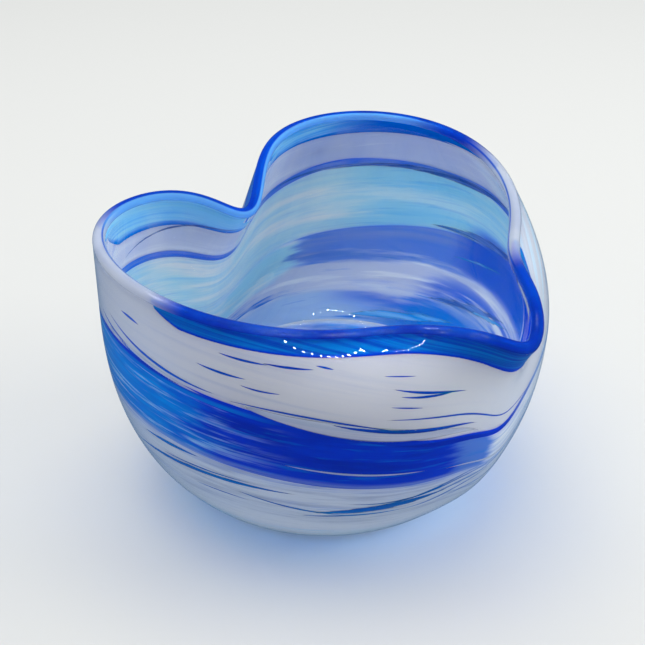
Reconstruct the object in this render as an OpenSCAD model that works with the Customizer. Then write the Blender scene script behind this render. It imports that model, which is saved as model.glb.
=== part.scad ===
/* [Body] */
// Diameter of the round belly
body_d = 150; // [130:1:185]
// Height of the widest point of the belly above the table
belly_z = 66; // [50:1:80]
// Diameter of the flat ground on the underside
base_d = 84; // [60:1:104]
// Squareness of the belly's lower curve, 2 is an ellipse
belly_power = 2.5; // [2:0.1:3.2]

/* [Mouth] */
// Reach of the pinched tip from the axis, at the lip's outer face
tip_reach = 83; // [66:1:101]
// Half width of the pinched tip, in degrees
tip_spread = 18; // [14:1:26]
// Reach of the lip on the hollow side walls behind the tip
side_reach = 53; // [42:1:66]
// Reach of the lip on the left lobe
left_lobe_reach = 74; // [60:1:92]
// Reach of the lip on the right lobe
right_lobe_reach = 71; // [60:1:92]
// Reach of the lip at the bottom of the notch between the lobes
notch_reach = 38; // [31:1:48]
// Half width of the notch, in degrees
notch_spread = 29; // [22:1:36]

/* [Heights of the lip] */
// Height of the lip at the tip
tip_z = 83; // [68:1:101]
// Height of the lip along the sides
side_z = 86; // [75:1:106]
// Height of the lip on the left lobe
left_lobe_z = 98; // [86:1:120]
// Height of the lip on the right lobe
right_lobe_z = 105; // [86:1:128]
// Height of the lip in the notch
notch_z = 88; // [75:1:106]

/* [Glass thickness] */
// Clear glass gathered over the colour
casing_t = 1.4; // [1:0.1:2.4]
// Coloured glass
colour_t = 0.9; // [0.6:0.1:1.6]
// Clear glass of the first bubble, inside the colour
lining_t = 1.7; // [1:0.1:2.6]
// How much thicker the three layers are at the foot than at the lip
foot_gain = 0.75; // [0:0.05:1.2]
// Ground and polished disc under the bowl
base_t = 3; // [2:0.1:5]
// Height of the fire-polished lip above the cut edge of the wall
lip_h = 2.4; // [1.4:0.1:4]
// How far the lip swells past each face of the wall
lip_swell = 0.3; // [0:0.05:0.6]

/* [Colour bands] */
// Height of the blue floor layer's edge, as a share of the wall
floor_edge = 0.16; // [0.12:0.01:0.22]
// Height of the edge between lower white and middle blue
lower_white_edge = 0.5; // [0.45:0.01:0.55]
// Height of the edge between cobalt stripe and upper white
upper_white_edge = 0.77; // [0.73:0.01:0.8]
// Height of the cobalt stripe, as a share of the wall
stripe_h = 0.03; // [0.02:0.005:0.04]
// Dip of the bands under the tip
tip_dip = 0.17; // [0:0.01:0.2]
// Rise of the bands round the right side
right_rise = 0.11; // [0:0.01:0.12]
// Height of the front azure band, as a share of the wall
front_azure_h = 0.055; // [0.04:0.005:0.08]
// Height of the back azure band where it starts on the left lobe
back_azure_h = 0.12; // [0.06:0.005:0.14]

/* [Mesh] */
// Columns of facets round the bowl
columns = 72; // [48:4:84]

/* [Hidden] */

clear = [0.82, 0.90, 0.97, 0.45];
azure = [0.05, 0.42, 0.84];
cobalt = [0.03, 0.14, 0.62];
sky = [0.36, 0.60, 0.88];
floor_blue = [0.25, 0.48, 0.85];
opal = [0.88, 0.90, 0.95];

body_r = body_d / 2;
base_r = base_d / 2;
left_lobe_angle = -112;
left_lobe_spread = 75;
right_lobe_angle = 104;
right_lobe_spread = 84;
tip_z_spread = 9;
notch_z_spread = 16;
notch_angle = 180;
neck_start = 0.61;
neck_power = 2.6;
crease_power = 1.1;
tip_band_spread = 42;
right_rise_angle = 75;
right_rise_spread = 42;
notch_dip_spread = 30;
front_azure_from = -88;
front_azure_to = 24;
tip_azure_extra = 0.07;
tip_azure_spread = 16;
back_azure_from = 80;
back_azure_to = 224;
azure_min_h = 0.02;
tight = 0.4;
slope_step = 0.01;
slope_angle = 0.5;
lip_points = 6;
base_facets = 96;
column_crowding = 11;

// The faces between the layers of glass, from the outside in
outer_skin = 0;
colour_outside = 1;
colour_inside = 2;
inner_skin = 3;

// The colour bands, from the foot up
floor_band = 0;
lower_white_band = 1;
middle_blue_band = 2;
stripe_band = 3;
upper_white_band = 4;
azure_band = 5;

// Depth of each glass face below the outer skin, where the wall is thinnest
face_depths = [0, casing_t, casing_t + colour_t, casing_t + colour_t + lining_t];
wall_t = face_depths[inner_skin];
// Rows of facets in each band, from the foot up
band_rows = [3, 3, 3, 1, 3, 2];
band_start = [for (b = [0:azure_band]) sum_to(b)];
rows = sum_to(len(band_rows));

function sum_to(b) = b == 0 ? 0 : band_rows[b - 1] + sum_to(b - 1);
function wrap(angle) = angle - 360 * round(angle / 360);
function bump(angle, spread) = exp(-pow(wrap(angle) / spread, 2));
function clip(value) = min(1, max(0, value));
function blend(from, to, share) = from + (to - from) * share;
function unit(v) = v / norm(v);

// The mouth, seen from above and from the side
function lobes(angle, side, left, right) = side
    + (left - side) * bump(angle - left_lobe_angle, left_lobe_spread)
    + (right - side) * bump(angle - right_lobe_angle, right_lobe_spread);
function mouth_r(angle) =
    blend(lobes(angle, side_reach, left_lobe_reach, right_lobe_reach),
        tip_reach, bump(angle, tip_spread));
function open_z(angle) =
    blend(lobes(angle, side_z, left_lobe_z, right_lobe_z),
        tip_z, bump(angle, tip_z_spread));
function mouth_z(angle) =
    blend(open_z(angle), notch_z, bump(angle - notch_angle, notch_z_spread)) - lip_h;

// The belly below its widest point is a superellipse that ends at the ground base
belly_drop = belly_z / pow(1 - pow(base_r / body_r, belly_power), 1 / belly_power);
function belly_r(z) = z >= belly_z ? body_r
    : body_r * pow(1 - pow((belly_z - z) / belly_drop, belly_power), 1 / belly_power);

// Outer skin: angle is 0 at the tip, rise is 0 at the base disc and 1 at the cut edge
function skin_r(angle, rise) =
    blend(belly_r(blend(base_t, side_z, rise)), mouth_r(angle),
        pow(clip((rise - neck_start) / (1 - neck_start)), neck_power))
    - (mouth_r(notch_angle) - notch_reach) * pow(clip(rise), crease_power)
        * bump(angle - notch_angle, notch_spread);
function skin(angle, rise) = [
    skin_r(angle, rise) * sin(angle),
    -skin_r(angle, rise) * cos(angle),
    blend(base_t, mouth_z(angle), rise)];
function climb(angle, rise) =
    skin(angle, rise + slope_step) - skin(angle, rise - slope_step);
function inward(angle, rise) =
    unit(cross(climb(angle, rise),
        skin(angle + slope_angle, rise) - skin(angle - slope_angle, rise)));
function thicker(rise) = 1 + foot_gain * pow(1 - clip(rise), 3);
function in_wall(angle, rise, depth) =
    skin(angle, rise) + inward(angle, rise) * depth * thicker(rise);

// Edges of the colour bands, as heights on the wall
function lower_edge(angle) = lower_white_edge - tip_dip / 2 * bump(angle, tip_band_spread)
    + right_rise * bump(angle - right_rise_angle, right_rise_spread)
    - right_rise / 2 * bump(angle - notch_angle, notch_dip_spread);
function upper_edge(angle) = upper_white_edge - tip_dip * bump(angle, tip_band_spread)
    + right_rise * bump(angle - right_rise_angle, right_rise_spread);
function front_share(angle) =
    (angle - front_azure_from) / (front_azure_to - front_azure_from);
function back_share(angle) = (angle - back_azure_from) / (back_azure_to - back_azure_from);
function arch(share) = share <= 0 || share >= 1 ? 0 : pow(sin(180 * share), tight);
function azure_h(angle) = max(azure_min_h,
    front_azure_h * arch(front_share(wrap(angle)))
        + tip_azure_extra * bump(angle, tip_azure_spread),
    back_azure_h * arch(back_share(angle < 0 ? angle + 360 : angle))
        * clip(back_share(angle < 0 ? angle + 360 : angle)));
function edges(angle) = [0, floor_edge, lower_edge(angle), upper_edge(angle) - stripe_h,
    upper_edge(angle), 1 - azure_h(angle), 1];

// Facet columns crowd together at the tip and the notch
function column_angle(i) = let (even = 360 * i / columns) wrap(even - column_crowding * sin(2 * even));
function band_of(row) =
    max([for (b = [0:azure_band]) if (row >= band_start[b] && row > 0 || b == 0) b]);
function rise_of(row, cuts) = row >= rows ? 1
    : let (b = band_of(row))
        blend(cuts[b], cuts[b + 1], (row - band_start[b]) / band_rows[b]);

// One ring of points for every row, on the face at the given depth
function face_points(depth) = [for (row = [0:rows]) for (i = [0:columns - 1])
    let (angle = column_angle(i)) in_wall(angle, rise_of(row, edges(angle)), depth)];
function centre_point(depth) = [0, 0, base_t + depth * thicker(0)];

function outer_id(i, row) = row * columns + i % columns;
function inner_id(i, row) = outer_id(i, row) + columns * (rows + 1);
function quad_up(u0, v0, v1, u1) = [[u0, v0, v1], [u0, v1, u1]];
function quad_down(u0, v0, v1, u1) = [[u0, v0, u1], [v0, v1, u1]];

// Which facets a layer holds: rows from first to last, columns where the test is true
function in_azure(i, from, to) = let (
        here = column_angle(i) + column_angle(i + 1),
        middle = abs(column_angle(i) - column_angle(i + 1)) > 180 ? 180 : here / 2,
        turned = middle < from ? middle + 360 : middle)
    turned >= from && turned <= to;
function is_front(i) = in_azure(i, front_azure_from, front_azure_to);
function is_back(i) = in_azure(i, back_azure_from, back_azure_to);
function holds(kind, i, row) =
    row < 0 || row >= rows ? false
    : kind == "whole" ? true
    : kind == "front" ? band_of(row) == azure_band && is_front(i % columns)
    : kind == "back" ? band_of(row) == azure_band && is_back(i % columns)
    : kind == upper_white_band ? band_of(row) == upper_white_band
        || band_of(row) == azure_band && !is_front(i % columns) && !is_back(i % columns)
    : band_of(row) == kind;

function cell_faces(kind, i, row, floored) = let (
        before = (i + columns - 1) % columns,
        a0 = outer_id(i, row), b0 = outer_id(i + 1, row),
        c0 = outer_id(i + 1, row + 1), d0 = outer_id(i, row + 1),
        a1 = inner_id(i, row), b1 = inner_id(i + 1, row),
        c1 = inner_id(i + 1, row + 1), d1 = inner_id(i, row + 1))
    [
        [a0, d0, c0], [a0, c0, b0], [a1, c1, d1], [a1, b1, c1],
        if (!holds(kind, i, row - 1) && !(floored && row == 0)) each quad_up(a0, b0, b1, a1),
        if (!holds(kind, i + 1, row)) each quad_up(b0, c0, c1, b1),
        if (!holds(kind, i, row + 1)) each quad_down(c0, d0, d1, c1),
        if (!holds(kind, before, row)) each quad_down(d0, a0, a1, d1)
    ];

// A layer of glass between two faces of the wall, with a disc across the foot or without
module layer(kind, from_face, to_face, floored) {
    points = concat(face_points(face_depths[from_face]), face_points(face_depths[to_face]),
        [centre_point(face_depths[from_face]), centre_point(face_depths[to_face])]);
    centre = 2 * columns * (rows + 1);
    walls = [for (row = [0:rows - 1]) for (i = [0:columns - 1])
        if (holds(kind, i, row)) each cell_faces(kind, i, row, floored)];
    discs = [for (i = [0:columns - 1]) if (floored)
        each [[outer_id(i, 0), outer_id(i + 1, 0), centre],
            [inner_id(i + 1, 0), inner_id(i, 0), centre + 1]]];
    polyhedron(points = points, faces = concat(walls, discs));
}

module polished_base() {
    color(clear)
        cylinder(h = base_t, r1 = base_r, r2 = belly_r(base_t), $fn = base_facets);
}

module outer_casing() {
    color(clear) layer("whole", outer_skin, colour_outside, true);
}

module inner_lining() {
    color(clear) layer("whole", colour_inside, inner_skin, true);
}

// The lip: the wall's cut edge below, and a melted round above it
function lip_ring(angle) = let (
        outer = in_wall(angle, 1, face_depths[outer_skin]),
        inner = in_wall(angle, 1, wall_t),
        middle = (outer + inner) / 2,
        across = (outer - inner) / 2,
        up = unit(climb(angle, 1)))
    concat([for (depth = face_depths) in_wall(angle, 1, depth)],
        [for (k = [1:lip_points]) let (turn = 180 - 180 * k / (lip_points + 1))
            middle + across * cos(turn) * (1 + 2 * lip_swell / wall_t * sin(turn))
                + up * lip_h * sin(turn)]);
lip_size = len(face_depths) + lip_points;
function lip_id(i, k) = (i % columns) * lip_size + k % lip_size;

module rim_bead() {
    points = [for (i = [0:columns - 1]) each lip_ring(column_angle(i))];
    faces = [for (i = [0:columns - 1]) for (k = [0:lip_size - 1])
        each quad_up(lip_id(i, k), lip_id(i + 1, k), lip_id(i + 1, k + 1), lip_id(i, k + 1))];
    color(azure) polyhedron(points = points, faces = faces);
}

module blue_floor_layer() {
    color(floor_blue) layer(floor_band, colour_outside, colour_inside, true);
}

module white_lower_band() {
    color(opal) layer(lower_white_band, colour_outside, colour_inside, false);
}

module blue_middle_band() {
    color(sky) layer(middle_blue_band, colour_outside, colour_inside, false);
}

module cobalt_stripe() {
    color(cobalt) layer(stripe_band, colour_outside, colour_inside, false);
}

module white_upper_band() {
    color(opal) layer(upper_white_band, colour_outside, colour_inside, false);
}

module azure_front_band() {
    color(azure) layer("front", colour_outside, colour_inside, false);
}

module azure_back_band() {
    color(azure) layer("back", colour_outside, colour_inside, false);
}

polished_base();
outer_casing();
inner_lining();
rim_bead();
blue_floor_layer();
white_lower_band();
blue_middle_band();
cobalt_stripe();
white_upper_band();
azure_front_band();
azure_back_band();
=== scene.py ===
import math

import bpy
import numpy as np
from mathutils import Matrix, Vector


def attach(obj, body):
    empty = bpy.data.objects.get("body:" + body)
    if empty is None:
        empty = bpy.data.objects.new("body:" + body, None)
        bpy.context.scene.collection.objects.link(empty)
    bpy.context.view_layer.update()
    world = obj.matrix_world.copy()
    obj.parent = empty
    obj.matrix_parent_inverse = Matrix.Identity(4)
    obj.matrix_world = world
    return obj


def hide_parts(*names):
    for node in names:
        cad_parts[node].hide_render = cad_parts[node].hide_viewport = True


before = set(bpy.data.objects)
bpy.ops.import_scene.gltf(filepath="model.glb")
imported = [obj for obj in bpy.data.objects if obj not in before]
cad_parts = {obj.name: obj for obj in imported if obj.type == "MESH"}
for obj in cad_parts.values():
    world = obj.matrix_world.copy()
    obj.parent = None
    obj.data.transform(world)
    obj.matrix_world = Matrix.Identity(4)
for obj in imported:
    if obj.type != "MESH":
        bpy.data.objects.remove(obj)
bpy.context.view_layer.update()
bpy.ops.object.select_all(action="DESELECT")

# ---------------------------------------------------------------- camera, floor and studio light
# The bowl stands on a pale seamless sheet under a soft tent of light, and is
# looked at from above and a little to the left of its pinched tip.
MM = 0.001
aim = Vector((-0.4, 0.4, 55.8)) * MM
view_azimuth = math.radians(-47.7)
view_elevation = math.radians(32)
view_distance = 425 * MM

towards_camera = Vector((
    math.sin(view_azimuth) * math.cos(view_elevation),
    -math.cos(view_azimuth) * math.cos(view_elevation),
    math.sin(view_elevation)))
bpy.ops.object.camera_add(location=aim + towards_camera * view_distance)
camera = bpy.context.object
camera.rotation_euler = (-towards_camera).to_track_quat("-Z", "Y").to_euler()
camera.data.sensor_width = 36
camera.data.lens = 69.7
camera.data.clip_start = 0.01
bpy.context.scene.camera = camera

bpy.ops.mesh.primitive_plane_add(size=6)
floor = bpy.context.object
floor.name = "paper_floor"
floor.visible_glossy = False
floor_finish = bpy.data.materials.new("matt_paper")
floor_finish.use_nodes = True
paper = floor_finish.node_tree.nodes["Principled BSDF"]
paper.inputs["Base Color"].default_value = (0.61, 0.62, 0.615, 1)
paper.inputs["Roughness"].default_value = 0.9
paper.inputs["Specular IOR Level"].default_value = 0.0
floor.data.materials.append(floor_finish)

# The tent is bright for the glass to glow in, and dim where its skin would mirror it.
world = bpy.data.worlds.new("light_tent")
bpy.context.scene.world = world
bpy.context.scene.view_settings.view_transform = "Standard"
world.use_nodes = True
tent = world.node_tree
tent_light = tent.nodes["Background"]
tent_light.inputs["Color"].default_value = (1.0, 1.0, 0.985, 1)
tent_light.inputs["Strength"].default_value = 0.76
tent_mirrored = tent.nodes.new("ShaderNodeBackground")
tent_mirrored.inputs["Color"].default_value = (0.25, 0.55, 1.0, 1)
tent_mirrored.inputs["Strength"].default_value = 0.28
tent_ray = tent.nodes.new("ShaderNodeLightPath")
tent_either = tent.nodes.new("ShaderNodeMixShader")
tent_mirror = tent.nodes.new("ShaderNodeMath")
tent_mirror.operation = "SUBTRACT"
tent_mirror.use_clamp = True
tent.links.new(tent_ray.outputs["Is Glossy Ray"], tent_mirror.inputs[0])
tent.links.new(tent_ray.outputs["Is Transmission Ray"], tent_mirror.inputs[1])
tent.links.new(tent_mirror.outputs["Value"], tent_either.inputs["Fac"])
tent.links.new(tent_light.outputs["Background"], tent_either.inputs[1])
tent.links.new(tent_mirrored.outputs["Background"], tent_either.inputs[2])
tent.links.new(tent_either.outputs["Shader"], tent.nodes["World Output"].inputs["Surface"])


def soft_box(name, place, width, power):
    """A square soft light that faces the bowl."""
    bpy.ops.object.light_add(type="AREA", location=place)
    lamp = bpy.context.object
    lamp.name = name
    lamp.data.size = width
    lamp.data.energy = power
    lamp.rotation_euler = (aim - Vector(place)).to_track_quat("-Z", "Y").to_euler()
    lamp.visible_glossy = False


soft_box("overhead_light", (-0.02, 0.18, 1.1), 0.9, 8.0)
soft_box("right_light", (0.68, -0.62, 0.52), 0.6, 3.6)

# A ring of small lamps hangs over the bowl. Only the glints on the glass show it.
ring_centre = aim + Vector((
    math.sin(view_azimuth) * math.cos(math.radians(60)),
    -math.cos(view_azimuth) * math.cos(math.radians(60)),
    math.sin(math.radians(60)))) * 0.52
ring_turn = (aim - ring_centre).to_track_quat("-Z", "Y")
ring_lamps = 60
for count in range(ring_lamps):
    angle = 2 * math.pi * count / ring_lamps
    place = ring_centre + ring_turn @ Vector((math.cos(angle), math.sin(angle), 0)) * 0.28
    bpy.ops.object.light_add(type="POINT", location=place)
    lamp = bpy.context.object
    lamp.name = "ring_lamp"
    lamp.data.shadow_soft_size = 0.003
    lamp.data.energy = 0.07
    lamp.visible_diffuse = False
    lamp.visible_transmission = False
    lamp.visible_camera = False

# ---------------------------------------------------------------- inner lining
# The first bubble of clear glass. It is blown into the round belly and carries
# everything else; the lobes, the notch and the tip are pressed into it while hot.
COLUMNS = 240
belly_radius, belly_height, belly_power = 75 * MM, 66 * MM, 2.5
base_radius, base_thickness = 42 * MM, 3 * MM
neck_start, neck_power, crease_power = 0.61, 2.6, 1.1
tip_reach, tip_spread = 83 * MM, 18
side_reach, left_lobe_reach, right_lobe_reach = 53 * MM, 74 * MM, 71 * MM
notch_reach, notch_spread = 38 * MM, 29
tip_height, side_height, notch_height = 83 * MM, 86 * MM, 88 * MM
left_lobe_height, right_lobe_height = 98 * MM, 105 * MM
left_lobe_turn, left_lobe_spread = -112, 75
right_lobe_turn, right_lobe_spread = 104, 84
tip_height_spread, notch_height_spread = 9, 16
casing_thickness, colour_thickness, lining_thickness = 1.4 * MM, 0.9 * MM, 1.7 * MM
wall_thickness = casing_thickness + colour_thickness + lining_thickness
foot_gain = 0.75
lip_height = 2.4 * MM
tip_dip, right_rise = 0.17, 0.11


def bump(turn, spread):
    """One at turn 0, falling to nothing round the bowl."""
    away = np.asarray(turn) - 360 * np.round(np.asarray(turn) / 360)
    return np.exp(-(away / spread) ** 2)


def mix(start, end, share):
    return start + (end - start) * share


def lobes(turn, side, left, right):
    return (side + (left - side) * bump(turn - left_lobe_turn, left_lobe_spread)
            + (right - side) * bump(turn - right_lobe_turn, right_lobe_spread))


def mouth_radius(turn):
    open_mouth = lobes(turn, side_reach, left_lobe_reach, right_lobe_reach)
    return mix(open_mouth, tip_reach, bump(turn, tip_spread))


def mouth_height(turn):
    lobed = lobes(turn, side_height, left_lobe_height, right_lobe_height)
    lobed = mix(lobed, tip_height, bump(turn, tip_height_spread))
    return mix(lobed, notch_height, bump(turn - 180, notch_height_spread)) - lip_height


belly_drop = belly_height / (1 - (base_radius / belly_radius) ** belly_power) ** (1 / belly_power)


def belly(height):
    below = np.clip((belly_height - height) / belly_drop, 0, 1)
    return belly_radius * (1 - below ** belly_power) ** (1 / belly_power)


def skin(turn, rise):
    """A point of the outer skin: turn is 0 at the tip, rise runs from the base to the lip."""
    neck = np.clip((rise - neck_start) / (1 - neck_start), 0, 1) ** neck_power
    radius = mix(belly(mix(base_thickness, side_height, rise)), mouth_radius(turn), neck)
    crease = np.clip(rise, 0, 1) ** crease_power * bump(turn - 180, notch_spread)
    radius = radius - (mouth_radius(180) - notch_reach) * crease
    angle = np.radians(turn)
    height = mix(base_thickness, mouth_height(turn), rise)
    return np.stack([radius * np.sin(angle), -radius * np.cos(angle), height], -1)


def into_glass(turn, rise):
    """The direction straight into the wall from the outer skin."""
    up = skin(turn, rise + 0.01) - skin(turn, rise - 0.01)
    along = skin(turn + 0.5, rise) - skin(turn - 0.5, rise)
    inward = np.cross(up, along)
    return inward / np.linalg.norm(inward, axis=-1, keepdims=True)


def in_wall(turn, rise, depth):
    """A point inside the wall, at a depth that grows with the glass towards the foot."""
    turn, rise, depth = np.broadcast_arrays(
        *(np.asarray(value, float) for value in (turn, rise, depth)))
    thicker = 1 + foot_gain * (1 - np.clip(rise, 0, 1)) ** 3
    return skin(turn, rise) + into_glass(turn, rise) * (depth * thicker)[..., None]


def column_turn(index, count=COLUMNS):
    """Columns crowd together at the tip and the notch, where the wall turns sharply."""
    even = 360 * index / count
    return even - 11 * np.sin(np.radians(2 * even))


def tilt(turn):
    """The glass was swung as it grew, so every streak dips at the tip and climbs to its right."""
    return right_rise * bump(turn - 75, 42) - tip_dip * bump(turn, 42)


def settle(piece, places, turn, rise, share, inside, along=0.0, smooth_angle=40, reach=1.0):
    """Moves a primitive's vertices to their places and marks where on the wall each one is."""
    mesh = piece.data
    mesh.vertices.foreach_set("co", places.ravel())
    angle = np.radians(turn)
    flow = rise - tilt(turn) * np.clip(rise / 0.8, 0, 1)
    marks = {"wall": np.stack([np.sin(angle) * reach, -np.cos(angle) * reach, flow], -1),
             "band": np.stack([share, inside, along + 0 * share], -1)}
    for name, values in marks.items():
        mark = mesh.attributes.new(name=name, type="FLOAT_VECTOR", domain="POINT")
        mark.data.foreach_set("vector", values.ravel())
    mesh.update()
    bpy.ops.object.select_all(action="DESELECT")
    piece.select_set(True)
    bpy.context.view_layer.objects.active = piece
    bpy.ops.object.transform_apply(location=True, rotation=True, scale=True)
    bpy.ops.object.shade_smooth_by_angle(angle=math.radians(smooth_angle))


def glass_ball(name, rings, segments=COLUMNS):
    """A ball, with each vertex's share of the way from its bottom to its top, and its angle."""
    bpy.ops.mesh.primitive_uv_sphere_add(segments=segments, ring_count=rings, radius=1)
    piece = bpy.context.object
    piece.name = name
    points = np.empty(len(piece.data.vertices) * 3)
    piece.data.vertices.foreach_get("co", points)
    points = points.reshape(-1, 3)
    upwards = 1 - np.arccos(np.clip(points[:, 2], -1, 1)) / math.pi
    return piece, upwards, np.arctan2(points[:, 1], points[:, 0])


def ball_turn(around):
    """The turn of the bowl at each of a ball's columns."""
    return column_turn(np.rint(np.degrees(around) / 360 * COLUMNS) + COLUMNS // 4)


def pushed_in(name, rows):
    """A ball with its top half pushed down inside its bottom half, as the skins of a bowl."""
    floor_rings = 5
    rings = 2 * (rows + floor_rings)
    piece, upwards, around = glass_ball(name, rings)
    ring = np.rint(upwards * rings)
    outside = ring <= rings // 2
    step = np.where(outside, ring, rings - ring)
    rise = np.clip((step - floor_rings) / rows, 0, 1)
    reach = np.clip(step / floor_rings, 0, 1)
    return piece, ball_turn(around), outside, rise, reach


def blown_shell(name, outer_depth, inner_depth, rows=60, crowding=1.15):
    """A closed shell of glass, with both skins running up to the lip."""
    piece, turn, outside, rise, reach = pushed_in(name, rows)
    rise = rise ** crowding
    places = in_wall(turn, rise, np.where(outside, outer_depth, inner_depth))
    places[:, :2] *= reach[:, None]
    settle(piece, places, turn, rise, rise, 1 - outside)
    return piece


def waves_group():
    """The slow ripple of hand-blown glass and its faint cloudy seeds."""
    group = bpy.data.node_groups.new("blown_waves", "ShaderNodeTree")
    for name, value in (("Ripple Size", 45.0), ("Seed Size", 500.0)):
        socket = group.interface.new_socket(name=name, in_out="INPUT", socket_type="NodeSocketFloat")
        socket.default_value = value
    group.interface.new_socket(name="Ripple", in_out="OUTPUT", socket_type="NodeSocketFloat")
    group.interface.new_socket(name="Tint", in_out="OUTPUT", socket_type="NodeSocketColor")
    come, go = group.nodes.new("NodeGroupInput"), group.nodes.new("NodeGroupOutput")
    place = group.nodes.new("ShaderNodeTexCoord")
    ripple = group.nodes.new("ShaderNodeTexNoise")
    ripple.inputs["Detail"].default_value = 1.0
    group.links.new(place.outputs["Object"], ripple.inputs["Vector"])
    group.links.new(come.outputs["Ripple Size"], ripple.inputs["Scale"])
    group.links.new(ripple.outputs["Fac"], go.inputs["Ripple"])
    seeds = group.nodes.new("ShaderNodeTexNoise")
    seeds.inputs["Detail"].default_value = 2.0
    group.links.new(place.outputs["Object"], seeds.inputs["Vector"])
    group.links.new(come.outputs["Seed Size"], seeds.inputs["Scale"])
    tint = group.nodes.new("ShaderNodeValToRGB")
    tint.color_ramp.elements[0].position = 0.3
    tint.color_ramp.elements[0].color = (0.955, 0.975, 1.0, 1)
    tint.color_ramp.elements[1].position = 0.7
    tint.color_ramp.elements[1].color = (0.99, 0.995, 1.0, 1)
    group.links.new(seeds.outputs["Fac"], tint.inputs["Fac"])
    group.links.new(tint.outputs["Color"], go.inputs["Tint"])
    return group


blown_waves = waves_group()


def add_waves(tree, shader, strength):
    """Gives a shader the ripple as its bump. Returns the tint."""
    waves = tree.nodes.new("ShaderNodeGroup")
    waves.node_tree = blown_waves
    bumps = tree.nodes.new("ShaderNodeBump")
    bumps.inputs["Strength"].default_value = strength
    bumps.inputs["Distance"].default_value = 1.0 * MM
    tree.links.new(waves.outputs["Ripple"], bumps.inputs["Height"])
    tree.links.new(bumps.outputs["Normal"], shader.inputs["Normal"])
    return waves.outputs["Tint"]


def let_lamps_through(tree, shader, tint=None):
    """Lamps shine through this glass, in its colour, on to what is behind it."""
    ray = tree.nodes.new("ShaderNodeLightPath")
    clear = tree.nodes.new("ShaderNodeBsdfTransparent")
    if tint is not None:
        tree.links.new(tint, clear.inputs["Color"])
    either = tree.nodes.new("ShaderNodeMixShader")
    tree.links.new(ray.outputs["Is Shadow Ray"], either.inputs["Fac"])
    tree.links.new(shader.outputs["BSDF"], either.inputs[1])
    tree.links.new(clear.outputs["BSDF"], either.inputs[2])
    tree.links.new(either.outputs["Shader"], tree.nodes["Material Output"].inputs["Surface"])


clear_skin = bpy.data.materials.new("clear_glass_skin")
clear_skin.use_nodes = True
skin_shader = clear_skin.node_tree.nodes["Principled BSDF"]
skin_shader.inputs["Roughness"].default_value = 0.015
skin_shader.inputs["IOR"].default_value = 1.5
skin_shader.inputs["Transmission Weight"].default_value = 1.0
skin_tint = add_waves(clear_skin.node_tree, skin_shader, 0.12)
clear_skin.node_tree.links.new(skin_tint, skin_shader.inputs["Base Color"])
let_lamps_through(clear_skin.node_tree, skin_shader)

fused_face = bpy.data.materials.new("fused_glass_face")
fused_face.use_nodes = True
fused_shader = fused_face.node_tree.nodes["Principled BSDF"]
fused_shader.inputs["Base Color"].default_value = (1, 1, 1, 1)
fused_shader.inputs["Roughness"].default_value = 0.0
fused_shader.inputs["IOR"].default_value = 1.5
fused_shader.inputs["Transmission Weight"].default_value = 1.0
fused_shader.inputs["Alpha"].default_value = 0.0

GAP = 0.03 * MM
lining_face = casing_thickness + colour_thickness + GAP
lining = blown_shell("inner_lining_glass", lining_face, wall_thickness)


def band_marks(piece):
    """The marks that settle gave each vertex: share of the band, inside or not, and along."""
    marks = np.empty(len(piece.data.vertices) * 3)
    piece.data.attributes["band"].data.foreach_get("vector", marks)
    return marks.reshape(-1, 3)


def fused_side(piece, fused_is_inside):
    """The face that melted onto its neighbour has no surface of its own."""
    inside = band_marks(piece)[:, 1] > 0.5
    for face in piece.data.polygons:
        if any(inside[corner] == fused_is_inside for corner in face.vertices):
            face.material_index = 1


lining.data.materials.append(clear_skin)
lining.data.materials.append(fused_face)
fused_side(lining, False)
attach(lining, "root")
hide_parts("inner_lining")

# ---------------------------------------------------------------- white lower band
# Powdered opal white, rolled on to the hot bubble in a belt. It is drawn out into
# streaks as the bubble grows, with cobalt drawn through it in thin lines.
lower_white_edge, upper_white_edge, floor_edge, stripe_height = 0.5, 0.77, 0.16, 0.03


def lower_edge(turn):
    return (lower_white_edge - tip_dip / 2 * bump(turn, 42)
            + right_rise * bump(turn - 75, 42) - right_rise / 2 * bump(turn - 180, 30)
            - 0.02 * bump(turn + 32, 30))


def upper_edge(turn):
    waver = 0.03 * bump(turn - 128, 18) - 0.02 * bump(turn - 88, 14) - 0.015 * bump(turn + 20, 14)
    return upper_white_edge + tilt(turn) + waver


def belt(name, low, high, rows):
    """A closed ring of coloured glass in the middle of the wall, between two edges."""
    steps = 2 * (rows + 1)
    bpy.ops.mesh.primitive_torus_add(major_segments=COLUMNS, minor_segments=steps)
    piece = bpy.context.object
    piece.name = name
    index = np.arange(len(piece.data.vertices))
    turn = column_turn(index // steps + COLUMNS // 4)
    step = index % steps
    inside = step > rows
    share = np.where(inside, steps - 1 - step, step) / rows
    low_edge, high_edge = low(turn), high(turn)
    rise = mix(low_edge, high_edge, share)
    depth = np.where(inside, casing_thickness + colour_thickness, casing_thickness)
    settle(piece, in_wall(turn, rise, depth), turn, rise, share, inside)
    return piece


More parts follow.
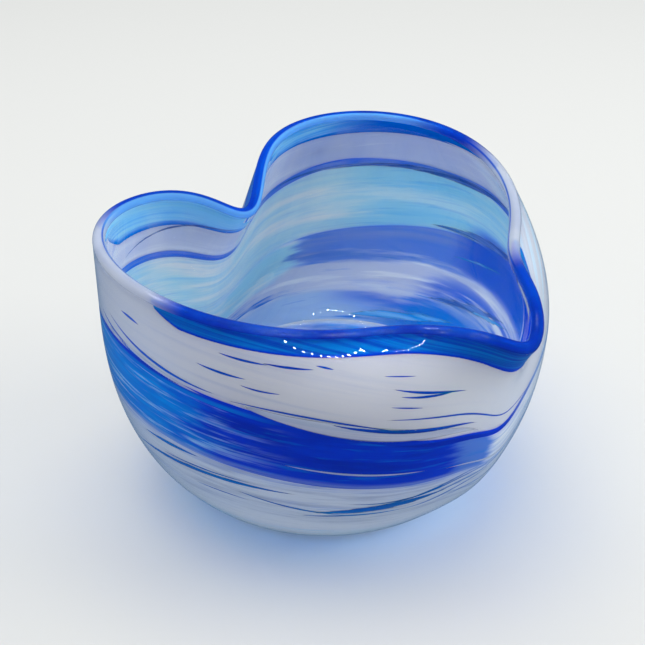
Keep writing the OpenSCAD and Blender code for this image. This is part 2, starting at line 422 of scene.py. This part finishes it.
def streak_group():
    """Long streaks that follow the wall round the bowl: how far each point is into one."""
    group = bpy.data.node_groups.new("drawn_streaks", "ShaderNodeTree")
    face = group.interface
    for name, kind, value in (("Length", "NodeSocketFloat", 1.5), ("Fineness", "NodeSocketFloat", 20.0),
                              ("Start", "NodeSocketFloat", 0.0), ("Low", "NodeSocketFloat", 0.4),
                              ("High", "NodeSocketFloat", 0.6)):
        socket = face.new_socket(name=name, in_out="INPUT", socket_type=kind)
        socket.default_value = value
    face.new_socket(name="Mask", in_out="OUTPUT", socket_type="NodeSocketFloat")
    come, go = group.nodes.new("NodeGroupInput"), group.nodes.new("NodeGroupOutput")
    wall = group.nodes.new("ShaderNodeAttribute")
    wall.attribute_name = "wall"
    stretch = group.nodes.new("ShaderNodeCombineXYZ")
    for axis, source in (("X", "Length"), ("Y", "Length"), ("Z", "Fineness")):
        group.links.new(come.outputs[source], stretch.inputs[axis])
    scaled = group.nodes.new("ShaderNodeVectorMath")
    scaled.operation = "MULTIPLY"
    group.links.new(wall.outputs["Vector"], scaled.inputs[0])
    group.links.new(stretch.outputs["Vector"], scaled.inputs[1])
    noise = group.nodes.new("ShaderNodeTexNoise")
    noise.noise_dimensions = "4D"
    noise.inputs["Scale"].default_value = 1.0
    noise.inputs["Detail"].default_value = 4.0
    noise.inputs["Roughness"].default_value = 0.6
    group.links.new(scaled.outputs["Vector"], noise.inputs["Vector"])
    group.links.new(come.outputs["Start"], noise.inputs["W"])
    reach = group.nodes.new("ShaderNodeMapRange")
    reach.interpolation_type = "SMOOTHSTEP"
    group.links.new(noise.outputs["Fac"], reach.inputs["Value"])
    group.links.new(come.outputs["Low"], reach.inputs["From Min"])
    group.links.new(come.outputs["High"], reach.inputs["From Max"])
    group.links.new(reach.outputs["Result"], go.inputs["Mask"])
    return group


drawn_streaks = streak_group()


def facing_group():
    """How much a point of the wall lies towards one turn of the bowl, from 0 to 1."""
    group = bpy.data.node_groups.new("towards_turn", "ShaderNodeTree")
    for name, value in (("Sine", 0.0), ("Cosine", 1.0), ("Far", 0.0), ("Near", 1.0)):
        socket = group.interface.new_socket(name=name, in_out="INPUT", socket_type="NodeSocketFloat")
        socket.default_value = value
    group.interface.new_socket(name="Mask", in_out="OUTPUT", socket_type="NodeSocketFloat")
    come, go = group.nodes.new("NodeGroupInput"), group.nodes.new("NodeGroupOutput")
    wall = group.nodes.new("ShaderNodeAttribute")
    wall.attribute_name = "wall"
    heading = group.nodes.new("ShaderNodeCombineXYZ")
    group.links.new(come.outputs["Sine"], heading.inputs["X"])
    group.links.new(come.outputs["Cosine"], heading.inputs["Y"])
    dot = group.nodes.new("ShaderNodeVectorMath")
    dot.operation = "DOT_PRODUCT"
    group.links.new(wall.outputs["Vector"], dot.inputs[0])
    group.links.new(heading.outputs["Vector"], dot.inputs[1])
    reach = group.nodes.new("ShaderNodeMapRange")
    reach.interpolation_type = "SMOOTHSTEP"
    group.links.new(dot.outputs["Value"], reach.inputs["Value"])
    group.links.new(come.outputs["Far"], reach.inputs["From Min"])
    group.links.new(come.outputs["Near"], reach.inputs["From Max"])
    group.links.new(reach.outputs["Result"], go.inputs["Mask"])
    return group


towards_turn = facing_group()


class Colouring:
    """One colour layer's shader: glass paint under the casing, mixed from masks."""

    def __init__(self, name, glow=1.0):
        self.material = bpy.data.materials.new(name)
        self.material.use_nodes = True
        self.tree = self.material.node_tree
        self.shader = self.tree.nodes["Principled BSDF"]
        self.shader.inputs["Roughness"].default_value = 0.4
        self.shader.inputs["Specular IOR Level"].default_value = 0.0
        self.shader.inputs["Subsurface Weight"].default_value = glow
        self.shader.inputs["Subsurface Radius"].default_value = (1.0, 1.0, 1.0)
        self.shader.inputs["Subsurface Scale"].default_value = 2.0 * MM
        band = self.tree.nodes.new("ShaderNodeAttribute")
        band.attribute_name = "band"
        parts = self.tree.nodes.new("ShaderNodeSeparateXYZ")
        self.tree.links.new(band.outputs["Vector"], parts.inputs["Vector"])
        self.share, self.inside, self.along = (parts.outputs[axis] for axis in "XYZ")

    def placed(self, group, values):
        made = self.tree.nodes.new("ShaderNodeGroup")
        made.node_tree = group
        for name, value in values.items():
            made.inputs[name].default_value = value
        return made.outputs["Mask"]

    def streaks(self, length, fineness, start, low, high):
        return self.placed(drawn_streaks, {
            "Length": length, "Fineness": fineness, "Start": start, "Low": low, "High": high})

    def towards(self, turn, near, far):
        """1 within near degrees of a turn, 0 past far degrees."""
        angle = math.radians(turn)
        return self.placed(towards_turn, {
            "Sine": math.sin(angle), "Cosine": -math.cos(angle),
            "Far": math.cos(math.radians(far)), "Near": math.cos(math.radians(near))})

    def ramp(self, value, start, end):
        """0 at one value and 1 at another."""
        reach = self.tree.nodes.new("ShaderNodeMapRange")
        reach.interpolation_type = "SMOOTHSTEP"
        self.tree.links.new(value, reach.inputs["Value"])
        reach.inputs["From Min"].default_value = min(start, end)
        reach.inputs["From Max"].default_value = max(start, end)
        reach.inputs["To Min"].default_value = float(start > end)
        reach.inputs["To Max"].default_value = float(start < end)
        return reach.outputs["Result"]

    def across(self, start, end):
        return self.ramp(self.share, start, end)

    def join(self, operation, first, second):
        both = self.tree.nodes.new("ShaderNodeMath")
        both.operation = operation
        both.use_clamp = True
        for socket, value in zip(both.inputs, (first, second)):
            if isinstance(value, bpy.types.NodeSocket):
                self.tree.links.new(value, socket)
            else:
                socket.default_value = value
        return both.outputs["Value"]

    def times(self, *masks):
        result = masks[0]
        for mask in masks[1:]:
            result = self.join("MULTIPLY", result, mask)
        return result

    def patch(self, turn, near, far, low, high, soft, streaks):
        """A patch of the band with drawn-out, streaky ends."""
        height = self.times(self.across(low - soft, low + soft), self.across(high + soft, high - soft))
        reach = self.times(self.towards(turn, near, far), height)
        return self.ramp(self.join("ADD", reach, self.times(streaks, 0.5)), 0.55, 0.95)

    def paint(self, under, over, mask):
        """Lays one colour over another where the mask says."""
        blend = self.tree.nodes.new("ShaderNodeMix")
        blend.data_type = "RGBA"
        sockets = {socket.identifier: socket for socket in blend.inputs}
        for key, value in (("A_Color", under), ("B_Color", over), ("Factor_Float", mask)):
            if isinstance(value, bpy.types.NodeSocket):
                self.tree.links.new(value, sockets[key])
            elif key == "Factor_Float":
                sockets[key].default_value = value
            else:
                sockets[key].default_value = (*value, 1)
        return {socket.identifier: socket for socket in blend.outputs}["Result_Color"]

    def finish(self, outer, inner, cover=None):
        """The outer colour on the outer face and the inner colour on the inner one."""
        result = self.paint(outer, inner, self.inside)
        self.tree.links.new(result, self.shader.inputs["Base Color"])
        if cover is None:
            lamp_blue = (0.05, 0.44, 0.90)
            let_lamps_through(self.tree, self.shader, self.paint(result, lamp_blue, 0.65))
        else:
            self.tree.links.new(cover, self.shader.inputs["Alpha"])
            let_lamps_through(self.tree, self.shader)
        return self.material


def lay_on(piece, material, cad_node):
    piece.data.materials.append(material)
    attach(piece, "root")
    if cad_node:
        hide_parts(cad_node)


opal_shade = (0.48, 0.55, 0.68)
milk_white = (0.70, 0.76, 0.86)
# Painted bounce light: the lower band's outer face is made lighter towards its bottom with this white.
painted_bounce_white = (0.88, 0.91, 0.96)
lavender = (0.64, 0.69, 0.84)
pale_lavender = (0.84, 0.88, 0.95)
azure = (0.0, 0.25, 0.74)
ink_blue = (0.04, 0.20, 0.74)
pool_blue = (0.02, 0.17, 0.70)
thin_blue = (0.50, 0.66, 0.90)
sky = (0.52, 0.80, 0.97)
pale_sky = (0.86, 0.95, 1.0)
periwinkle = (0.17, 0.35, 0.78)
dusk = (0.30, 0.43, 0.74)

white_lower = belt("white_lower_band_glass", lambda turn: floor_edge + 0 * turn, lower_edge, 24)
tint = Colouring("streaked_lower_white")
outer = tint.paint(milk_white, opal_shade, tint.streaks(2.0, 40, 3.0, 0.45, 0.68))
outer = tint.paint(outer, dusk, tint.times(tint.streaks(2.2, 60, 7.0, 0.55, 0.7), 0.6))
outer = tint.paint(outer, dusk, tint.times(tint.across(0.86, 1.0), tint.streaks(2.0, 70, 4.4, 0.42, 0.6)))
# Lighter towards the bottom of the band: painted bounce light from the floor on the underside, which faces
# down into shade.
outer = tint.paint(outer, painted_bounce_white, tint.times(tint.across(0.45, 0.0), 0.8))
inner = tint.paint(azure, thin_blue, tint.towards(156, 24, 56))
inner = tint.paint(inner, ink_blue, tint.times(tint.towards(84, 20, 54), tint.ramp(tint.join(
    "SUBTRACT", tint.share, tint.times(tint.towards(70, 8, 36), 0.22)), 0.12, 0.26)))
inner = tint.paint(inner, lavender, tint.ramp(tint.join("SUBTRACT", tint.join(
    "ADD", tint.share, tint.times(tint.streaks(1.0, 14, 9.4, 0.35, 0.65), 0.2)),
    tint.times(tint.towards(70, 8, 36), 0.2)), 0.26, 0.50))
inner = tint.paint(inner, pale_lavender, tint.times(
    tint.streaks(1.0, 24, 6.1, 0.48, 0.62), tint.across(0.2, 0.5)))
inner = tint.paint(inner, periwinkle, tint.ramp(tint.join(
    "ADD", tint.share, tint.times(tint.streaks(1.1, 22, 2.7, 0.35, 0.65), 0.16)), 0.68, 0.84))
inner = tint.paint(inner, dusk, tint.times(tint.across(0.78, 0.95), tint.streaks(0.9, 40, 8.8, 0.35, 0.6)))
inner = tint.paint(inner, azure, tint.times(
    tint.streaks(1.2, 34, 5.0, 0.56, 0.66), tint.across(0.75, 0.55)))
inner = tint.paint(inner, pool_blue, tint.times(tint.towards(66, 8, 26), tint.across(0.6, 0.75)))
dipped = tint.paint(sky, pale_sky, tint.streaks(2.0, 24, 4.6, 0.42, 0.62))
inner = tint.paint(inner, dipped, tint.patch(
    176, 14, 44, 0.62, 1.4, 0.16, tint.streaks(1.4, 20, 1.3, 0.35, 0.65)))
lay_on(white_lower, tint.finish(outer, inner), "white_lower_band")

# ---------------------------------------------------------------- blue middle band
# Transparent blues, rolled on side by side in one belt: azure at the left, cobalt in
# front and pale blue at the right. On the inside it shows as sky blue.
cobalt = (0.0, 0.05, 0.66)
deep_cobalt = (0.0, 0.025, 0.50)
bright_azure = (0.0, 0.37, 0.86)
pale_azure = (0.20, 0.60, 0.95)
clear_azure = (0.24, 0.60, 0.95)
smoky_blue = (0.12, 0.28, 0.72)
thin_white = (0.84, 0.89, 0.97)
sky_white = (0.9, 0.96, 1.0)

blue_middle = belt(
    "blue_middle_band_glass", lower_edge, lambda turn: upper_edge(turn) - stripe_height, 24)
tint = Colouring("streaked_blue")
fine = tint.streaks(3.0, 46, 9.0, 0.40, 0.70)
broad = tint.streaks(2.2, 18, 2.0, 0.36, 0.66)
outer = tint.paint(thin_white, dusk, tint.times(tint.streaks(1.6, 26, 6.5, 0.5, 0.64), 0.5))
outer = tint.paint(outer, smoky_blue, tint.ramp(tint.join(
    "ADD", tint.towards(-29, 18, 31), tint.times(broad, 0.3)), 0.3, 0.8))
outer = tint.paint(outer, cobalt, tint.ramp(tint.join(
    "ADD", tint.towards(-54, 26, 48), tint.times(broad, 0.3)), 0.3, 0.8))
outer = tint.paint(outer, deep_cobalt, tint.times(tint.towards(-50, 14, 42), broad, tint.across(0.2, 0.5)))
outer = tint.paint(outer, azure, tint.ramp(tint.join(
    "ADD", tint.towards(-118, 12, 56), tint.times(broad, 0.5)), 0.5, 1.0))
# Brighter azure and sky streaks at the left: the glass's own streaks, lightened as painted light where
# light shines through the thin blue.
outer = tint.paint(outer, bright_azure, tint.times(tint.towards(-114, 16, 46), fine))
outer = tint.paint(outer, sky, tint.times(
    tint.towards(-112, 20, 60), tint.times(tint.streaks(2.6, 60, 1.6, 0.5, 0.66), 0.8)))
outer = tint.paint(outer, azure, tint.times(tint.streaks(3.2, 50, 5.6, 0.52, 0.7), 0.6))
outer = tint.paint(outer, dusk, tint.times(tint.across(0.14, 0.0), tint.streaks(0.9, 50, 3.9, 0.3, 0.6)))
inner = tint.paint(sky, pale_sky, tint.streaks(1.1, 15, 4.0, 0.40, 0.62))
inner = tint.paint(inner, pale_azure, tint.times(tint.streaks(1.3, 34, 6.0, 0.46, 0.68), 0.6))
inner = tint.paint(inner, azure, tint.times(tint.streaks(1.4, 60, 2.9, 0.56, 0.72), 0.4))
inner = tint.paint(inner, sky_white, tint.times(tint.streaks(1.8, 24, 7.7, 0.60, 0.74), 0.9))
inner = tint.paint(inner, clear_azure, tint.times(tint.towards(92, 10, 44), 0.4))
inner = tint.paint(inner, pale_sky, tint.times(tint.towards(156, 12, 40), 0.35))
inner = tint.paint(inner, ink_blue, tint.times(tint.towards(64, 8, 22), tint.across(0.4, 0.1)))
lay_on(blue_middle, tint.finish(outer, inner), "blue_middle_band")

# ---------------------------------------------------------------- cobalt stripe
# A dense thread of cobalt glass, wound on hot between the blue and the upper white.
# It is so thin and dark that it reads as a line on both sides of the wall.
thread_blue = (0.0, 0.18, 0.80)

stripe = belt("cobalt_stripe_glass", lambda turn: upper_edge(turn) - stripe_height, upper_edge, 3)
tint = Colouring("dense_cobalt")
outer = tint.paint(cobalt, deep_cobalt, tint.streaks(1.4, 30, 8.0, 0.4, 0.6))
outer = tint.paint(outer, azure, tint.times(tint.towards(-105, 30, 50), tint.across(0.7, 0.3)))
outer = tint.paint(outer, dusk, tint.towards(60, 40, 60))
inner = tint.paint(thread_blue, periwinkle, tint.streaks(1.2, 30, 2.5, 0.4, 0.6))
inner = tint.paint(inner, azure, tint.times(tint.streaks(0.9, 80, 4.5, 0.5, 0.7), 0.6))
lay_on(stripe, tint.finish(outer, inner), "cobalt_stripe")

# ---------------------------------------------------------------- white upper band
# Opal white, the last belt below the mouth. It reaches the lip in two places, and
# elsewhere it runs up under the azure. Inside it shows as lavender.
opal = (0.65, 0.70, 0.80)
upper_milk = (0.60, 0.61, 0.65)
upper_shade = (0.50, 0.53, 0.62)
tip_white = (0.74, 0.76, 0.79)
lobe_lavender = (0.54, 0.60, 0.80)
veil_white = (0.95, 0.97, 1.0)

white_upper = belt("white_upper_band_glass", upper_edge, lambda turn: 1.0 + 0 * turn, 24)
tint = Colouring("milky_upper_white")
outer = tint.paint(upper_milk, upper_shade, tint.streaks(0.9, 50, 2.2, 0.45, 0.72))
outer = tint.paint(outer, opal, tint.times(tint.towards(-118, 15, 55), 0.5))
outer = tint.paint(outer, dusk, tint.times(tint.streaks(0.7, 100, 5.1, 0.63, 0.76), 0.5))
outer = tint.paint(outer, tip_white, tint.times(tint.towards(2, 6, 34), 0.8))
outer = tint.paint(outer, sky, tint.times(
    tint.towards(40, 10, 26), tint.streaks(0.9, 36, 3.3, 0.45, 0.65), 0.7))
inner = tint.paint(lavender, pale_lavender, tint.times(tint.streaks(0.9, 24, 6.6, 0.42, 0.7), 0.8))
inner = tint.paint(inner, lobe_lavender, tint.times(tint.towards(112, 10, 40), 0.7))
inner = tint.paint(inner, veil_white, tint.times(tint.streaks(0.8, 44, 1.7, 0.58, 0.72), 0.9))
lay_on(white_upper, tint.finish(outer, inner), "white_upper_band")


# ---------------------------------------------------------------- blue floor layer
# The blue powder that ran together over the bottom of the bubble. It is the same
# colour layer as the bands, closed across the middle, and blotched where it pooled.
def floor_pan(name, high, rows):
    """Like a belt, but closed across the bottom."""
    piece, turn, outside, rise, reach = pushed_in(name, rows)
    rise = rise * high
    depth = np.where(outside, casing_thickness, casing_thickness + colour_thickness)
    places = in_wall(turn, rise, depth)
    places[:, :2] *= reach[:, None]
    settle(piece, places, turn, rise, rise / high, 1 - outside, reach=reach)
    return piece


pan_white = (0.86, 0.90, 0.96)
blue_floor = floor_pan("blue_floor_layer_glass", floor_edge, 8)
tint = Colouring("spotted_floor_blue")
outer = tint.paint(pan_white, sky, tint.times(tint.streaks(1.2, 30, 3.7, 0.45, 0.65), 0.7))
inner = tint.paint(pale_lavender, dusk, tint.streaks(2.0, 16, 1.5, 0.42, 0.62))
inner = tint.paint(inner, azure, tint.times(
    tint.towards(80, 30, 75), tint.streaks(1.6, 18, 5.5, 0.35, 0.55)))
inner = tint.paint(inner, bright_azure, tint.times(
    tint.towards(100, 10, 60), tint.streaks(1.4, 30, 7.5, 0.45, 0.6)))
lay_on(blue_floor, tint.finish(outer, inner), "blue_floor_layer")


# ---------------------------------------------------------------- azure crescents
# Two crescents of transparent azure under the lip, one in front and one behind. Each
# is a bead of colour laid on hot and drawn out to nothing at both ends.
def boxy(value, power=0.4):
    return np.sign(value) * np.abs(value) ** power


def sliver(name, start, end, middle, half_height, depth, half_depth, rings=48, sides=12):
    """A lens of glass in the wall, from one turn to another, along a line of rise."""
    piece, along, around = glass_ball(name, rings, sides)
    turn = mix(start, end, along)
    ends = np.clip(np.minimum(along, 1 - along) / 0.01, 0, 1)
    rise = middle(along) + half_height(along) * boxy(np.sin(around))
    level = depth - half_depth * ends * boxy(np.cos(around))
    settle(piece, in_wall(turn, rise, level), turn, rise,
           (boxy(np.sin(around)) + 1) / 2, (np.cos(around) < 0).astype(float), along, 180)
    return piece


def crescent(name, start, end, hang):
    """An azure crescent that hangs from the lip and runs out at both ends."""
    def half(along):
        ends = np.clip(np.minimum(along, 1 - along) / 0.07, 0, 1) ** 0.6
        return hang(mix(start, end, along)) * ends / 2

    return sliver(name, start, end, lambda along: 1.004 - half(along), half,
                  casing_thickness + colour_thickness / 2, colour_thickness / 2 + 0.08 * MM, 160, 24)


azure_front = crescent("azure_front_band_glass", -92, 32, lambda turn: 0.055 + 0.07 * bump(turn, 16))
azure_back = crescent("azure_back_band_glass", 68, 232, lambda turn: 0.022 + 0.11 * bump(turn - 222, 55)
                      + 0.045 * bump(turn - 135, 45))
shaded_azure = (0.0, 0.09, 0.52)
drawn_azure = (0.0, 0.24, 0.64)
light_azure = (0.42, 0.76, 0.98)
right_azure = (0.0, 0.19, 0.68)
tint = Colouring("azure_crescent")
outer = tint.paint(shaded_azure, drawn_azure, tint.streaks(0.9, 90, 1.2, 0.42, 0.62))
outer = tint.paint(outer, cobalt, tint.streaks(1.1, 60, 4.2, 0.55, 0.68))
outer = tint.paint(outer, cobalt, tint.across(0.3, 0.1))
inner = tint.paint(pale_azure, light_azure, tint.streaks(0.9, 60, 3.3, 0.42, 0.62))
inner = tint.paint(inner, bright_azure, tint.streaks(0.9, 80, 6.3, 0.48, 0.66))
inner = tint.paint(inner, light_azure, tint.times(tint.towards(200, 14, 34), 0.5))
inner = tint.paint(inner, azure, tint.across(0.3, 0.1))
inner = tint.paint(inner, right_azure, tint.towards(92, 16, 44))
inner = tint.paint(inner, cobalt, tint.towards(10, 30, 60))
azure_paint = tint.finish(outer, inner)
lay_on(azure_front, azure_paint, "azure_front_band")
lay_on(azure_back, azure_paint, "azure_back_band")


# ---------------------------------------------------------------- trails on the outside
# A tongue of white that runs into the blue in front, and thin cobalt and blue trails
# over the white. Canes of colour are touched on and dragged while the glass is hot.
def trail(name, strokes, inside):
    """Thin trails of colour on one face of the colour layer, each drawn out at both ends.

    A stroke gives its first and last turn, its rise at the start, middle and end, and its
    height at the middle.
    """
    parts = []
    for start, end, first, centre, last, height in strokes:
        def middle(along, first=first, centre=centre, last=last):
            curve = 4 * along * (1 - along)
            return mix(first, last, along) + (centre - (first + last) / 2) * curve

        def half_height(along, height=height):
            return height / 2 * np.clip(np.sin(math.pi * along), 0, 1) ** 1.3 + 0.0005

        depth = casing_thickness + (colour_thickness if inside else 0)
        parts.append(sliver(name, start, end, middle, half_height, depth, 0.08 * MM))
    bpy.ops.object.select_all(action="DESELECT")
    for part in parts:
        part.select_set(True)
    bpy.context.view_layer.objects.active = parts[0]
    bpy.ops.object.join()
    piece = bpy.context.object
    piece.name = name
    return piece


def trail_paint(name, body, streak, softness, gaps, glow=1.0, most=1.0):
    """The colour of a trail: its edges feather out in streaks."""
    tint = Colouring(name, glow)
    colour = tint.paint(body, streak, tint.streaks(1.0, 90, 3.1, 0.4, 0.65))
    edge = tint.times(tint.across(0, softness), tint.across(1, 1 - softness))
    edge = tint.times(edge, tint.ramp(tint.along, 0, 0.2), tint.ramp(tint.along, 1, 0.8))
    worn = tint.times(tint.streaks(1.2, 120, 5.9, 0.4, 0.62), gaps)
    cover = tint.ramp(tint.join("ADD", edge, worn), gaps, 1.0)
    return tint.finish(colour, colour, tint.times(cover, most) if most < 1 else cover)


trail_white = (0.62, 0.66, 0.76)
white_tongue = trail("white_tongue_glass", [
    (-72, -4, 0.775, 0.700, 0.600, 0.065),
    (-112, -74, 0.790, 0.772, 0.755, 0.020),
    (-60, -20, 0.560, 0.520, 0.480, 0.010),
    (-20, 20, 0.470, 0.440, 0.460, 0.012),
], False)
white_paint = trail_paint("opal_trail", trail_white, opal_shade, 0.2, 0.2, 0.3)
lay_on(white_tongue, white_paint, None)

cobalt_trails = trail("cobalt_trails_glass", [
    (-74, -24, 0.765, 0.757, 0.664, 0.009),
    (-50, -6, 0.752, 0.688, 0.645, 0.024),
    (-38, 18, 0.755, 0.690, 0.590, 0.010),
    (-112, -70, 0.850, 0.795, 0.778, 0.014),
    (-118, -80, 0.820, 0.775, 0.760, 0.016),
    (-33, -12, 0.856, 0.818, 0.798, 0.013),
    (-31, -15, 0.825, 0.806, 0.806, 0.012),
    (-33, -24, 0.792, 0.780, 0.768, 0.006),
    (-34, -25, 0.893, 0.886, 0.880, 0.005),
    (-74, -60, 0.925, 0.918, 0.918, 0.010),
    (-63, -49, 0.922, 0.918, 0.918, 0.010),
    (-50, -45, 0.930, 0.925, 0.918, 0.008),
    (-79, -65, 0.868, 0.860, 0.860, 0.011),
    (-68, -57, 0.838, 0.830, 0.832, 0.008),
    (-103, -95, 0.900, 0.900, 0.895, 0.013),
], False)
cobalt_paint = trail_paint("cobalt_trail", cobalt, deep_cobalt, 0.35, 0.2)
lay_on(cobalt_trails, cobalt_paint, None)

trail_blue = (0.0, 0.11, 0.60)
blue_trails = trail("blue_trails_glass", [
    (-112, -50, 0.330, 0.405, 0.405, 0.026),
    (-95, -64, 0.400, 0.425, 0.430, 0.008),
    (-84, -66, 0.325, 0.332, 0.326, 0.007),
    (-72, -40, 0.375, 0.330, 0.285, 0.012),
    (-54, -12, 0.305, 0.322, 0.330, 0.050),
    (-56, -24, 0.285, 0.288, 0.280, 0.012),
    (-36, -2, 0.335, 0.360, 0.425, 0.012),
    (-30, 2, 0.285, 0.300, 0.400, 0.010),
    (-20, 30, 0.255, 0.330, 0.420, 0.009),
    (-46, 4, 0.375, 0.350, 0.440, 0.012),
    (-40, 10, 0.340, 0.335, 0.455, 0.010),
    (-100, -78, 0.455, 0.470, 0.480, 0.022),
    (24, 76, 0.620, 0.700, 0.760, 0.030),
    (30, 90, 0.780, 0.860, 0.880, 0.016),
    (100, 170, 0.400, 0.420, 0.380, 0.030),
    (150, 215, 0.330, 0.380, 0.360, 0.024),
    (60, 130, 0.300, 0.340, 0.300, 0.020),
    (110, 160, 0.860, 0.870, 0.860, 0.010),
    (170, 235, 0.870, 0.880, 0.860, 0.012),
], False)
blue_paint = trail_paint("blue_trail", trail_blue, azure, 0.4, 0.3, 0.5)
lay_on(blue_trails, blue_paint, None)

# ---------------------------------------------------------------- tongues on the inside
# Cobalt and azure drawn out in long tongues on the inner face of the colour, seen
# through the lining. They are soft at the edges, because the lining melted over them.
tongue_blue = (0.01, 0.11, 0.46)
inner_dark = trail("cobalt_tongues_glass", [
    (160, 52, 0.765, 0.815, 0.880, 0.026),
    (118, 62, 0.812, 0.822, 0.865, 0.032),
    (-138, -184, 0.775, 0.885, 0.935, 0.014),
    (102, 50, 0.590, 0.630, 0.665, 0.050),
    (98, 58, 0.300, 0.345, 0.410, 0.045),
], True)
dark_paint = trail_paint("cobalt_tongue", tongue_blue, periwinkle, 0.5, 0.4, 0.15, 0.8)
lay_on(inner_dark, dark_paint, None)

inner_azure = trail("azure_tongues_glass", [
    (90, 66, 0.500, 0.530, 0.560, 0.016),
    (128, 80, 0.180, 0.205, 0.265, 0.055),
    (84, 56, 0.330, 0.355, 0.400, 0.030),
], True)
light_paint = trail_paint("azure_tongue", bright_azure, pale_azure, 0.5, 0.4, 0.15, 0.8)
lay_on(inner_azure, light_paint, None)

# ---------------------------------------------------------------- outer casing
# A clear gather over all the colour. Only its outer skin is a surface: the inner
# face is fused to the colour under it.
casing = blown_shell("outer_casing_glass", 0.0, casing_thickness - GAP)
casing.data.materials.append(clear_skin)
casing.data.materials.append(fused_face)
fused_side(casing, True)
foot = band_marks(casing)[:, :2].max(axis=1) < 1e-6
for face in casing.data.polygons:
    if all(foot[corner] for corner in face.vertices):
        face.material_index = 1
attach(casing, "root")
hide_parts("outer_casing")

# ---------------------------------------------------------------- lip
# The cut edge of the wall, melted round in the furnace mouth. The azure and the
# cobalt run up into it, and it stays clear where the white reaches it.
lip_swell = 0.3 * MM
clear_lip = (0.62, 0.66, 0.72)
clear_lip_shade = (0.52, 0.57, 0.68)
lip_line = (0.04, 0.14, 0.62)
lip_blue = (0.0, 0.08, 0.60)
lip_blue_shade = (0.0, 0.04, 0.48)
lip_azure = (0.20, 0.58, 0.95)
lip_steps = 20
bpy.ops.mesh.primitive_torus_add(major_segments=COLUMNS, minor_segments=lip_steps)
lip = bpy.context.object
lip.name = "rim_bead_glass"
index = np.arange(len(lip.data.vertices))
turn = column_turn(index // lip_steps + COLUMNS // 4)
step = index % lip_steps
low_steps = 5
over = np.clip(step / (lip_steps - low_steps), 0, 1) * math.pi
outer_edge = in_wall(turn, 1.0, 0.0)
inner_edge = in_wall(turn, 1.0, wall_thickness)
across = (outer_edge - inner_edge) / 2
upwards = skin(turn, 1.01) - skin(turn, 0.99)
upwards /= np.linalg.norm(upwards, axis=-1, keepdims=True)
swell = 1 + 2 * lip_swell / wall_thickness * np.sin(over)
places = (outer_edge + inner_edge) / 2 + across * (np.cos(over) * swell)[:, None]
places += upwards * (lip_height * np.sin(over))[:, None]
below = step > lip_steps - low_steps
back = (step - (lip_steps - low_steps)) / low_steps
places[below] = mix(inner_edge, outer_edge, back[:, None])[below]
settle(lip, places, turn, 1.0 + 0 * turn, np.sin(over), (over > math.pi / 2).astype(float))
tint = Colouring("melted_lip", glow=0.0)
colour = tint.paint(clear_lip, clear_lip_shade, tint.streaks(1.2, 8, 4.0, 0.4, 0.6))
colour = tint.paint(colour, lip_line, tint.times(
    tint.across(0.72, 0.8), tint.across(0.95, 0.88), tint.inside))
blue = tint.paint(lip_blue, lip_blue_shade, tint.streaks(2.0, 30, 2.0, 0.4, 0.6))
blue = tint.paint(blue, lip_azure, tint.times(
    tint.inside, tint.across(0.97, 0.86), tint.towards(172, 60, 80)))
colour = tint.paint(colour, blue, tint.towards(-32, 50, 62))
colour = tint.paint(colour, blue, tint.towards(152, 66, 84))
tint.tree.links.new(colour, tint.shader.inputs["Base Color"])
tint.shader.inputs["Roughness"].default_value = 0.02
tint.shader.inputs["Specular IOR Level"].default_value = 0.5
tint.shader.inputs["Transmission Weight"].default_value = 0.5
tint.shader.inputs["IOR"].default_value = 1.5
add_waves(tint.tree, tint.shader, 0.1)
let_lamps_through(tint.tree, tint.shader, colour)
lay_on(lip, tint.material, "rim_bead")

# ---------------------------------------------------------------- polished base
# The thick clear bottom of the last gather. It is ground flat where the iron was
# broken off and then polished, and its middle is hollowed a little so it stands level.
base_profile = (
    (0.0, 0.45), (0.12, 0.43), (0.24, 0.32), (0.31, 0.12), (0.34, 0.0), (0.65, 0.0), (0.965, 0.0),
    (0.985, 0.05), (0.997, 0.25), (1.0, 0.6), (None, 3.0), (0.5, 3.0), (0.0, 3.0))
base_rings = len(base_profile) - 1
base, upwards, around = glass_ball("polished_base_glass", base_rings)
ring = np.rint(upwards * base_rings).astype(int)
turn = ball_turn(around)
top_radius = belly(base_thickness)
profile_reach = [top_radius if share is None else share * base_radius for share, height in base_profile]
reach = np.array(profile_reach)[ring]
level = np.array([height * MM for share, height in base_profile])[ring]
angle = np.radians(turn)
places = np.stack([reach * np.sin(angle), -reach * np.cos(angle), level], -1)
settle(base, places, turn, 0 * turn, reach / base_radius, ring >= base_rings - 2, 0.0, 30)

ground = bpy.data.materials.new("ground_and_polished_foot")
ground.use_nodes = True
tree = ground.node_tree
foot_shader = tree.nodes["Principled BSDF"]
foot_shader.inputs["IOR"].default_value = 1.5
foot_shader.inputs["Transmission Weight"].default_value = 1.0
place = tree.nodes.new("ShaderNodeAttribute")
place.attribute_name = "band"
parts = tree.nodes.new("ShaderNodeSeparateXYZ")
tree.links.new(place.outputs["Vector"], parts.inputs["Vector"])
worn = tree.nodes.new("ShaderNodeValToRGB")
worn.color_ramp.interpolation = "EASE"
stops = worn.color_ramp.elements
for count, (where, value) in enumerate(((0.33, 0.02), (0.37, 0.14), (0.90, 0.10), (0.95, 0.26))):
    stop = stops[count] if count < 2 else stops.new(where)
    stop.position = where
    stop.color = (value, value, value, 1)
tree.links.new(parts.outputs["X"], worn.inputs["Fac"])
tree.links.new(worn.outputs["Color"], foot_shader.inputs["Roughness"])
foot_tint = add_waves(tree, foot_shader, 0.05)
tree.links.new(foot_tint, foot_shader.inputs["Base Color"])
let_lamps_through(tree, foot_shader)
base.data.materials.append(ground)
base.data.materials.append(fused_face)
fused_side(base, True)
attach(base, "root")
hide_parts("polished_base")
